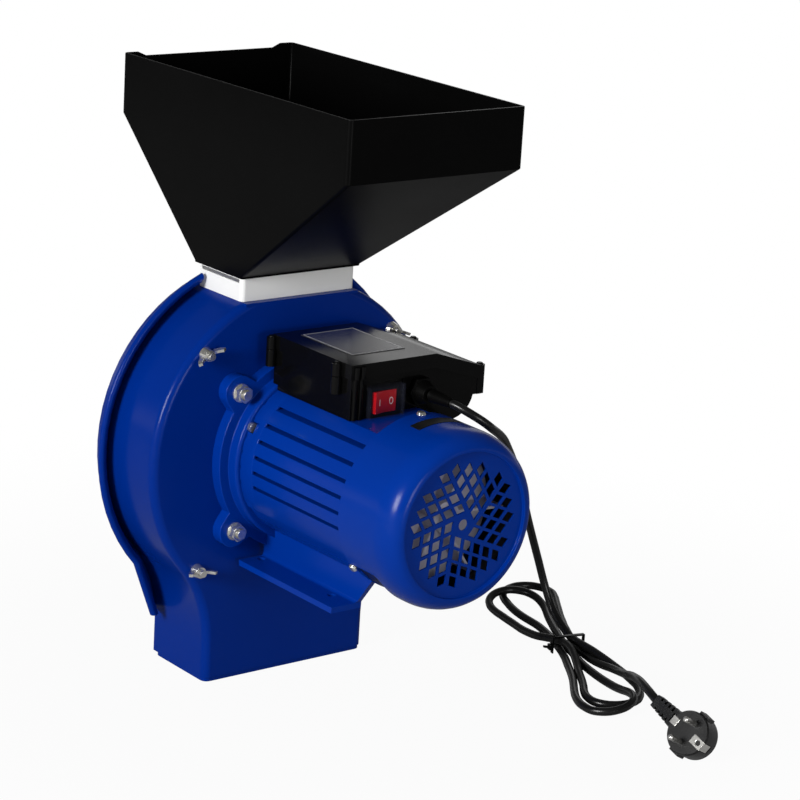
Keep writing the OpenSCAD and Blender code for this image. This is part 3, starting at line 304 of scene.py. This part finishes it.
def clear_material():
    """Clear soft film of the hood over the switch."""
    material = bpy.data.materials.new("clear_hood_film")
    material.use_nodes = True
    tree = material.node_tree
    shader = tree.nodes["Principled BSDF"]
    shader.inputs["Base Color"].default_value = (0.05, 0.055, 0.085, 1)
    shader.inputs["Roughness"].default_value = 0.10
    shader.inputs["Specular IOR Level"].default_value = 0.3
    flow = tree.nodes.new("ShaderNodeGroup")
    flow.node_tree = FLOW
    flow.inputs["Cloud Scale"].default_value = 60.0
    span = tree.nodes.new("ShaderNodeMapRange")
    span.inputs["To Min"].default_value = 0.04
    span.inputs["To Max"].default_value = 0.10
    tree.links.new(flow.outputs["Cloud"], span.inputs["Value"])
    tree.links.new(span.outputs["Result"], shader.inputs["Alpha"])
    return material


CLEAR = clear_material()

# The nodes of each finish
MATERIALS = {
    SHADED_DRUM_PAINT: ["drum_housing", "outlet_frame", "front_cover"],
    PAINT: ["fan_cover"],
    CAST_PAINT: ["motor_frame", "motor_foot", "drive_end_flange", "rear_end_shield"],
    HOPPER_PLASTIC: ["hopper"],
    NECK_PLASTIC: ["neck_collar", "terminal_block", "start_capacitor", "run_capacitor"],
    BOX_PLASTIC: ["switch_box", "box_lid", "switch_frame", "lid_screws", "cable_tie"],
    GLAND_RUBBER: ["cable_gland"],
    ZINC: ["cover_studs", "wing_nut_upper_left", "wing_nut_upper_right", "wing_nut_lower_left",
           "wing_nut_lower_right", "blade_nut", "tie_screws", "flange_bolts", "flange_washers",
           "flange_nuts", "fan_cover_screws", "plug_pins", "plug_earth_clips"],
    BARE_STEEL: ["sieve", "sieve_rails", "beater_hub", "beater_blade", "motor_shaft",
                 "front_bearing", "rear_bearing", "feed_slide"],
    CORE_STEEL: ["rotor_core", "stator_core"],
    FAN_PLASTIC: ["cooling_fan"],
    COPPER: ["stator_windings"],
    RED_PLASTIC: ["switch_rocker"],
    CLEAR: ["switch_hood"],
    PLATE: ["lid_plate"],
    BLACK_PLATE_AND_SHADE: ["fan_cover_plate"],
    CORD_RUBBER: ["power_cord", "cord_tail", "cord_hank"],
    PLUG_RUBBER: ["plug_body"],
}
lead.data.materials.append(CORD_RUBBER)
for material, names in MATERIALS.items():
    for name in names:
        NODES[name].data.materials.clear()
        NODES[name].data.materials.append(material)


# ------------------------------------------------------------------ finished copies of solids

def deselect():
    """Leaves edit mode with nothing selected."""
    if bpy.context.object and bpy.context.object.mode != "OBJECT":
        bpy.ops.object.mode_set(mode="OBJECT")
    bpy.ops.object.select_all(action="DESELECT")


def choose(piece):
    """Makes a piece the only one selected."""
    deselect()
    piece.select_set(True)
    bpy.context.view_layer.objects.active = piece


def apply_all(piece):
    """Applies a piece's modifiers in their order."""
    choose(piece)
    for modifier in list(piece.modifiers):
        bpy.ops.object.modifier_apply(modifier=modifier.name)


WELD_GAP = 0.00002
FLAT_ANGLE = 0.6


def finished(node, body="mill", edge=0.0006, steps=2, angle=32, flat=True, soft=None):
    """A node's welded copy with softened edges, which stands for the node.

    edge is the width of the rounds in metres and angle, in degrees, what counts as an edge.
    flat joins the triangles of flat faces. soft is a test that picks the edges that get the
    whole width, and the share of it that the other sharp edges get."""
    mesh = NODES[node].data.copy()
    piece = bpy.data.objects.new(node + "_finish", mesh)
    bpy.context.collection.objects.link(piece)
    choose(piece)
    bpy.ops.object.mode_set(mode="EDIT")
    bpy.ops.mesh.select_all(action="SELECT")
    bpy.ops.mesh.remove_doubles(threshold=WELD_GAP)
    if flat:
        bpy.ops.mesh.dissolve_limited(angle_limit=math.radians(FLAT_ANGLE))
    bpy.ops.object.mode_set(mode="OBJECT")
    bevel = piece.modifiers.new("edge", "BEVEL")
    bevel.width = edge
    bevel.segments = steps
    bevel.limit_method = "ANGLE"
    bevel.angle_limit = math.radians(angle)
    if soft:
        weigh_edges(mesh, soft, math.radians(angle))
        bevel.limit_method = "WEIGHT"
    apply_all(piece)
    bpy.ops.object.shade_smooth_by_angle(angle=math.radians(angle))
    even = piece.modifiers.new("even_shading", "WEIGHTED_NORMAL")
    even.keep_sharp = True
    apply_all(piece)
    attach(piece, body)
    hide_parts(node)
    return piece


def weigh_edges(mesh, soft, angle):
    """Bevel weights: 1 on the edges that soft picks, its second value on other sharp edges."""
    picks, rest = soft
    weights = mesh.attributes.new("bevel_weight_edge", "FLOAT", "EDGE")
    sides = {}
    for face in mesh.polygons:
        for key in face.edge_keys:
            sides.setdefault(key, []).append(face.normal)
    for edge in mesh.edges:
        normals = sides.get(edge.key, [])
        if len(normals) == 2 and normals[0].angle(normals[1], 0) > angle:
            a, b = (mesh.vertices[i].co for i in edge.vertices)
            weights.data[edge.index].value = 1.0 if picks(a, b) else rest


def on_grille_rim(a, b):
    """Edges of the step round the grille, by their radius."""
    inner, outer = 0.0585, 0.0612
    return all(inner < math.hypot(v.x, v.z - AXIS_Z) < outer for v in (a, b))


def on_flange_rim(a, b):
    """Edges round the rear face of the flange's plate."""
    face = mill(0, FLANGE_FACE_Y, 0).y
    return all(abs(v.y - face) < 0.0001 for v in (a, b))


# The rounds of the fixed pieces' edges, in metres
ROUNDS = {"drum_housing": 0.0008, "front_cover": 0.0005, "outlet_frame": 0.0005,
          "motor_frame": 0.0008, "motor_foot": 0.0012, "hopper": 0.0012, "neck_collar": 0.0010,
          "switch_box": 0.0008, "box_lid": 0.0010, "switch_frame": 0.0004,
          "flange_washers": 0.0002, "fan_cover_screws": 0.0003, "lid_screws": 0.0003,
          "cable_gland": 0.0004, "tie_screws": 0.0003, "switch_hood": 0.0003,
          "lid_plate": 0.0001, "plug_body": 0.0008, "plug_pins": 0.0004,
          "plug_earth_clips": 0.0002, "cable_tie": 0.0003}
FINISHED = {node: finished(node, edge=edge) for node, edge in ROUNDS.items()}
finished("drive_end_flange", edge=0.0036, steps=4, soft=(on_flange_rim, 0.12))
finished("fan_cover", edge=0.0015, steps=3, flat=False, soft=(on_grille_rim, 0.25))
for corner in ("upper_left", "upper_right", "lower_left", "lower_right"):
    finished("wing_nut_" + corner, body="wing_nut_" + corner, edge=0.0004, angle=24)
for node in ("cover_studs", "flange_bolts"):
    finished(node, edge=0.00025, angle=18)
finished("switch_rocker", body="rocker", edge=0.0004)
finished("feed_slide", body="slide", edge=0.0003)


# ------------------------------------------------------------------ small pieces

def settle(piece, place, material, body="mill", smooth=35):
    """Puts a finished mesh at its place, with the object left at the origin."""
    deselect()
    piece.data.transform(place @ piece.matrix_world)
    piece.data.update()
    piece.matrix_world = Matrix.Identity(4)
    piece.data.materials.clear()
    piece.data.materials.append(material)
    choose(piece)
    bpy.ops.object.shade_smooth_by_angle(angle=math.radians(smooth))
    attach(piece, body)
    return piece


def bevelled(piece, width, segments=2):
    """Rounds a piece's sharp edges."""
    bevel = piece.modifiers.new("edge", "BEVEL")
    bevel.width = width
    bevel.segments = segments
    bevel.limit_method = "ANGLE"
    apply_all(piece)


def open_tube(name, vertices, radius, depth):
    """A tube without ends or wall about Z."""
    deselect()
    bpy.ops.mesh.primitive_cylinder_add(vertices=vertices, radius=radius, depth=depth,
                                        end_fill_type="NOTHING")
    tube = bpy.context.object
    tube.name = name
    return tube


def give_wall(tube, thickness):
    """Thickens a tube inwards."""
    wall = tube.modifiers.new("wall", "SOLIDIFY")
    wall.thickness = thickness
    wall.offset = -1
    apply_all(tube)


def block(name, size):
    """A block of a size, about the origin."""
    deselect()
    bpy.ops.mesh.primitive_cube_add(size=1)
    made = bpy.context.object
    made.name = name
    bpy.ops.object.mode_set(mode="EDIT")
    bpy.ops.transform.resize(value=size)
    bpy.ops.object.mode_set(mode="OBJECT")
    return made


def pick_faces(piece, wanted):
    """Leaves a piece in edit mode with only the wanted faces selected."""
    bpy.ops.object.mode_set(mode="EDIT")
    bpy.ops.mesh.select_all(action="DESELECT")
    bpy.ops.mesh.select_mode(type="FACE")
    bpy.ops.object.mode_set(mode="OBJECT")
    for face in piece.data.polygons:
        face.select = wanted(face)
    bpy.ops.object.mode_set(mode="EDIT")


def repeated(piece, count, name):
    """A piece and its copies, each with its own mesh, named with their numbers."""
    made = [piece]
    for k in range(1, count):
        each = piece.copy()
        each.data = piece.data.copy()
        each.name = "%s_%d" % (name, k)
        bpy.context.collection.objects.link(each)
        made.append(each)
    return made


def turned(degrees, axis):
    """A turn about an axis through the origin."""
    return Matrix.Rotation(math.radians(degrees), 4, axis)


# Lays what is drawn about Z along the rotor axis
ALONG_AXIS = turned(90, "X")


def add_sleeve():
    """Tapered and ridged sleeve of the gland, where the lead leaves it."""
    length, rings, thickness = 0.022, 9, 0.0006
    wide, taper, groove = 0.0058, 0.0016, 0.94
    sleeve = open_tube("gland_sleeve", 40, wide, length)
    bpy.ops.object.mode_set(mode="EDIT")
    bpy.ops.mesh.select_all(action="SELECT")
    bpy.ops.mesh.subdivide(number_cuts=rings - 1)
    bpy.ops.object.mode_set(mode="OBJECT")
    for vertex in sleeve.data.vertices:
        along = vertex.co.z / length + 0.5
        ring = groove if round(along * rings) % 2 else 1.0
        radius = (wide - taper * along) * ring
        flat = Vector((vertex.co.x, vertex.co.y)).normalized() * radius
        vertex.co.x, vertex.co.y = flat.x, flat.y
    give_wall(sleeve, thickness)
    at = cord_path[0].lerp(cord_path[8], 0.78)
    way = (cord_path[8] - cord_path[3]).normalized()
    turn = way.to_track_quat("Z", "X").to_matrix().to_4x4()
    settle(sleeve, Matrix.Translation(at) @ turn, GLAND_RUBBER)


add_sleeve()


def add_fan():
    """The fan: a full back disc with a rim and a hub, and six straight vanes."""
    round_pieces = []
    for name, radius, start, deep in (("fan_disc", 0.060, -180.5, 2.5),
                                      ("fan_hub", 0.013, -178.2, 27.6)):
        deselect()
        bpy.ops.mesh.primitive_cylinder_add(vertices=72, radius=radius, depth=deep * MM)
        piece = bpy.context.object
        piece.name = name
        pick_faces(piece, lambda face: abs(face.normal.z) > 0.9)
        bpy.ops.mesh.inset(thickness=0.0025)
        bpy.ops.mesh.inset(thickness=0.0010)
        bpy.ops.object.mode_set(mode="OBJECT")
        bevelled(piece, 0.0004)
        round_pieces.append((piece, start - deep / 2))
    for piece, y in round_pieces:
        settle(piece, Matrix.Translation(mill(0, y, 0)) @ ALONG_AXIS, FAN_PLASTIC, "rotor")
    vane = block("fan_vane", (0.046, 0.0225, 0.0024))
    inner_cut = 0.008
    for vertex in vane.data.vertices:
        if vertex.co.x < 0 and vertex.co.y < 0:
            vertex.co.y += inner_cut
    bevelled(vane, 0.0004)
    vane.data.transform(Matrix.Translation((0.036, -0.1945, 0)))
    for k, each in enumerate(repeated(vane, 6, "fan_vane")):
        settle(each, Matrix.Translation(mill(0, 0, 0)) @ turned(60 * k, "Y"), FAN_PLASTIC, "rotor")
    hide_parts("cooling_fan")


add_fan()


def cut_with(piece, tool, operation):
    """Booleans a piece with a tool, which is then deleted."""
    step = piece.modifiers.new("cut", "BOOLEAN")
    step.operation = operation
    step.object = tool
    apply_all(piece)
    bpy.data.objects.remove(tool)


def cone(name, vertices, r1, r2, depth, z=0.0):
    """A closed cone or bar about Z, with its middle at a height."""
    deselect()
    bpy.ops.mesh.primitive_cone_add(vertices=vertices, radius1=r1, radius2=r2, depth=depth,
                                    location=(0, 0, z))
    made = bpy.context.object
    made.name = name
    made.data.transform(Matrix.Translation((0, 0, z)))
    made.location = (0, 0, 0)
    return made


def add_nuts():
    """The four flange nuts, with chamfered corners and a countersunk bore."""
    nut = cone("flange_nut_0", 6, 0.0075, 0.0075, 0.0065)
    cut_with(nut, cone("limit", 48, 0.0176, 0.0064, 0.0065), "INTERSECT")
    cut_with(nut, cone("bore", 32, 0.0040, 0.0040, 0.009), "DIFFERENCE")
    cut_with(nut, cone("sink", 32, 0.0036, 0.0050, 0.0014, 0.0028), "DIFFERENCE")
    bevelled(nut, 0.00022)
    middle_y = -15.85
    for k, each in enumerate(repeated(nut, 4, "flange_nut")):
        x, z = (-BOLT_X, BOLT_X)[k % 2], (-BOLT_Z, BOLT_Z)[k // 2]
        place = Matrix.Translation(mill(x, middle_y, z)) @ turned(15 + 23 * k, "Y") @ ALONG_AXIS
        settle(each, place, ZINC, smooth=25)
    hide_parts("flange_nuts")


add_nuts()


def add_frame_band():
    """Smooth band at the front end of the finned frame, open over the tie screws' pockets,
    the flat on top and the smooth lower part."""
    flat_top, fins_end, pocket_at, pocket_half = 0.0612, -0.037, 152, 4.2
    band = open_tube("frame_band", 180, 0.0721, 0.017)
    bpy.ops.object.mode_set(mode="EDIT")
    bpy.ops.mesh.select_all(action="SELECT")
    bpy.ops.mesh.subdivide(number_cuts=1)
    bpy.ops.object.mode_set(mode="OBJECT")
    band.data.transform(ALONG_AXIS)

    def is_open(face):
        x, y, z = face.center
        way = math.degrees(math.atan2(z, x))
        over_pocket = abs(abs(way) - pocket_at) < pocket_half and y > 0
        return z > flat_top or z < fins_end or over_pocket

    pick_faces(band, is_open)
    bpy.ops.mesh.delete(type="FACE")
    bpy.ops.object.mode_set(mode="OBJECT")
    give_wall(band, 0.003)
    bevelled(band, 0.0011, 3)
    settle(band, Matrix.Translation(mill(0, -30.7, 0)), CAST_PAINT)


add_frame_band()


def add_shade_liner():
    """Black ring inside the fan cover: painted shade, a dark sheet that darkens the inside seen
    through the grille.
    """
    liner = open_tube("shade_liner", 96, 0.0714, 0.036)
    give_wall(liner, 0.0014)
    bevelled(liner, 0.0003)
    settle(liner, Matrix.Translation(mill(0, -187.5, 0)) @ ALONG_AXIS, BLACK_PLATE_AND_SHADE)


add_shade_liner()


def add_plate_border():
    """Fine bright frame round the plate on the lid."""
    deselect()
    bpy.ops.mesh.primitive_plane_add(size=1)
    border = bpy.context.object
    border.name = "lid_plate_border"
    bpy.ops.object.mode_set(mode="EDIT")
    bpy.ops.transform.resize(value=(0.0510, 0.0680, 1))
    bpy.ops.mesh.inset(thickness=0.0005)
    bpy.ops.mesh.delete(type="FACE")
    bpy.ops.mesh.select_all(action="SELECT")
    bpy.ops.mesh.extrude_region_move(TRANSFORM_OT_translate={"value": (0, 0, 0.00012)})
    bpy.ops.mesh.select_all(action="SELECT")
    bpy.ops.mesh.normals_make_consistent(inside=False)
    bpy.ops.object.mode_set(mode="OBJECT")
    settle(border, Matrix.Translation(mill(6, -63.5, 108.9)), MARK_GREY)


add_plate_border()


def add_rocker_marks():
    """A ring and a bar on the rocker's two faces, the usual off and on."""
    pivot = Matrix.Translation(mill(-5, -120, 74.7)) @ turned(7, "Z")
    slope = math.degrees(math.atan2(1.4, 11.2))
    off_middle, face_y = 0.0064, -0.0050
    deselect()
    bpy.ops.mesh.primitive_torus_add(major_radius=0.0021, minor_radius=0.00028,
                                     major_segments=40, minor_segments=10)
    ring = bpy.context.object
    ring.name = "rocker_ring"
    bpy.ops.object.mode_set(mode="EDIT")
    bpy.ops.transform.resize(value=(0.82, 1.3, 0.5))
    bpy.ops.object.mode_set(mode="OBJECT")
    bar = block("rocker_bar", (0.0006, 0.0052, 0.00024))
    bevelled(bar, 0.00008)
    for mark, x, lean in ((ring, off_middle, -slope), (bar, -off_middle, slope)):
        face = pivot @ Matrix.Translation((x, face_y, 0)) @ turned(lean, "Z")
        settle(mark, face @ ALONG_AXIS, MARK_WHITE, "rocker")


add_rocker_marks()


def add_tie_head():
    """Lock and cut tail of the strap round the bundle."""
    head = block("tie_head", (0.0042, 0.0056, 0.0052))
    pick_faces(head, lambda face: face.normal.x < -0.5)
    bpy.ops.mesh.inset(thickness=0.0016)
    bpy.ops.mesh.extrude_region_move(TRANSFORM_OT_translate={"value": (-0.005, 0, 0.001)})
    bpy.ops.object.mode_set(mode="OBJECT")
    bevelled(head, 0.0005)
    turn = turned(-16, "Z")
    at = Vector((0.241, -0.033, FLOOR_Z)) + turn.to_3x3() @ Vector((-0.0168, 0, 0.006))
    settle(head, Matrix.Translation(at) @ turn, BOX_PLASTIC)


add_tie_head()


# ------------------------------------------------------------------ light and floor

LAMP_SIZE = 0.8


def place_lamp(name, at, aim_z, power):
    """A square lamp at a place, turned to a height on the part's Z axis."""
    data = bpy.data.lights.new(name, "AREA")
    data.size = LAMP_SIZE
    data.energy = power
    lamp = bpy.data.objects.new(name, data)
    bpy.context.collection.objects.link(lamp)
    lamp.location = at
    way = Vector((0, 0, aim_z)) - Vector(at)
    lamp.rotation_euler = way.to_track_quat("-Z", "Y").to_euler()
    lamp.visible_camera = False


place_lamp("key_left", (-2.6, -0.5, 1.0), 0.1, 80)
place_lamp("fill_front", (-0.2, -2.8, 0.4), 0.1, 18)
place_lamp("sheen_back", (2.06, 1.94, 0.95), 0.15, 1.6)


def pale_world():
    """A plain light, with a white backdrop below the horizon and a dim room above it."""
    world = bpy.data.worlds.new("studio")
    bpy.context.scene.world = world
    world.use_nodes = True
    tree = world.node_tree
    tree.nodes.clear()
    light = tree.nodes.new("ShaderNodeBackground")
    light.inputs["Strength"].default_value = 0.30
    light.inputs["Color"].default_value = (1, 1, 1, 1)
    seen = tree.nodes.new("ShaderNodeBackground")
    seen.inputs["Color"].default_value = (1, 1, 1, 1)
    way = tree.nodes.new("ShaderNodeTexCoord")
    apart = tree.nodes.new("ShaderNodeSeparateXYZ")
    fall = tree.nodes.new("ShaderNodeMapRange")
    for name, value in (("From Min", 0.02), ("From Max", 0.14), ("To Min", 1.0), ("To Max", 0.10)):
        fall.inputs[name].default_value = value
    tree.links.new(way.outputs["Generated"], apart.inputs[0])
    tree.links.new(apart.outputs["Z"], fall.inputs["Value"])
    tree.links.new(fall.outputs["Result"], seen.inputs["Strength"])
    path = tree.nodes.new("ShaderNodeLightPath")
    total = path.outputs["Is Camera Ray"]
    for name in ("Is Transmission Ray", "Is Glossy Ray"):
        add = tree.nodes.new("ShaderNodeMath")
        add.operation = "ADD"
        add.use_clamp = True
        tree.links.new(total, add.inputs[0])
        tree.links.new(path.outputs[name], add.inputs[1])
        total = add.outputs[0]
    mix = tree.nodes.new("ShaderNodeMixShader")
    leave = tree.nodes.new("ShaderNodeOutputWorld")
    tree.links.new(total, mix.inputs["Fac"])
    tree.links.new(light.outputs[0], mix.inputs[1])
    tree.links.new(seen.outputs[0], mix.inputs[2])
    tree.links.new(mix.outputs[0], leave.inputs["Surface"])


pale_world()


def pale_floor():
    """A wide pale floor that keeps the mill's shadow and turns white away from it."""
    gap = 0.0002
    bpy.ops.mesh.primitive_plane_add(size=14, location=(0, 0, FLOOR_Z - gap))
    floor = bpy.context.object
    floor.name = "floor"
    material = bpy.data.materials.new("pale_floor")
    material.use_nodes = True
    tree = material.node_tree
    shader = tree.nodes["Principled BSDF"]
    shader.inputs["Base Color"].default_value = (0.45, 0.45, 0.45, 1)
    shader.inputs["Roughness"].default_value = 0.8
    shader.inputs["Specular IOR Level"].default_value = 0.1
    glow = tree.nodes.new("ShaderNodeEmission")
    glow.inputs["Color"].default_value = (1, 1, 1, 1)
    path = tree.nodes.new("ShaderNodeLightPath")
    place = tree.nodes.new("ShaderNodeTexCoord")
    reach = tree.nodes.new("ShaderNodeVectorMath")
    reach.operation = "LENGTH"
    near = tree.nodes.new("ShaderNodeMapRange")
    near.interpolation_type = "SMOOTHSTEP"
    for name, value in (("From Min", 0.20), ("From Max", 0.8), ("To Min", 0.95), ("To Max", 1.0)):
        near.inputs[name].default_value = value
    share = tree.nodes.new("ShaderNodeMath")
    share.operation = "MULTIPLY"
    mix = tree.nodes.new("ShaderNodeMixShader")
    leave = tree.nodes["Material Output"]
    tree.links.new(place.outputs["Object"], reach.inputs[0])
    tree.links.new(reach.outputs["Value"], near.inputs["Value"])
    tree.links.new(near.outputs["Result"], share.inputs[1])
    tree.links.new(path.outputs["Is Camera Ray"], share.inputs[0])
    tree.links.new(share.outputs[0], mix.inputs["Fac"])
    tree.links.new(shader.outputs[0], mix.inputs[1])
    tree.links.new(glow.outputs[0], mix.inputs[2])
    tree.links.new(mix.outputs[0], leave.inputs["Surface"])
    floor.data.materials.append(material)


pale_floor()

scene = bpy.context.scene
scene.view_settings.view_transform = "Standard"
for mesh in bpy.data.meshes:
    mesh.update_tag()
bpy.context.view_layer.update()
